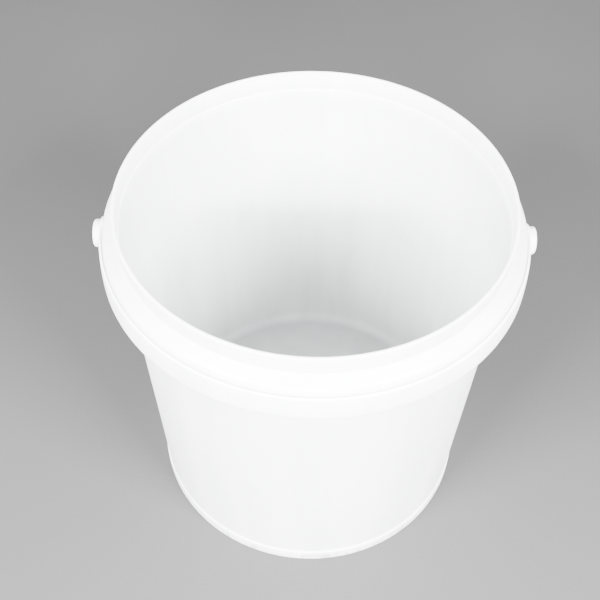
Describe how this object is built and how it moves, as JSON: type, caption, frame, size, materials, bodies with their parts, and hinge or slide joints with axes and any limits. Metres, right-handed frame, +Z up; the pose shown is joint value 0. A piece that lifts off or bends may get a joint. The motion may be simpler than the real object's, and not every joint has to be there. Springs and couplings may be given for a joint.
{
  "type": "florist bucket",
  "caption": "Round tapered white plastic bucket with a rolled collar and a strap handle that swings on side pins, for holding cut flowers in water.",
  "frame": {"origin": "on the bucket's axis, at the ground", "axes": "+Z up along the bucket's axis, X along the handle's pivot axis, -Y the front, where the handle lies folded down"},
  "size_m": [0.2246, 0.2153, 0.2075],
  "materials": {
    "bucket_plastic": "satin white moulded polypropylene, slightly translucent",
    "handle_plastic": "satin white moulded polypropylene",
    "pin_plastic": "satin white moulded plastic"
  },
  "bodies": {
    "bucket": {"bucket_body": "bucket_plastic", "left_pivot_pin": "pin_plastic", "right_pivot_pin": "pin_plastic"},
    "handle": {"bail_handle": "handle_plastic"}
  },
  "joints": [
    {"name": "handle_swing", "type": "hinge", "parent": "bucket", "child": "handle", "pos_m": [0, 0, 0.179], "axis": [-1, 0, 0], "range_deg": [0, 180]}
  ]
}
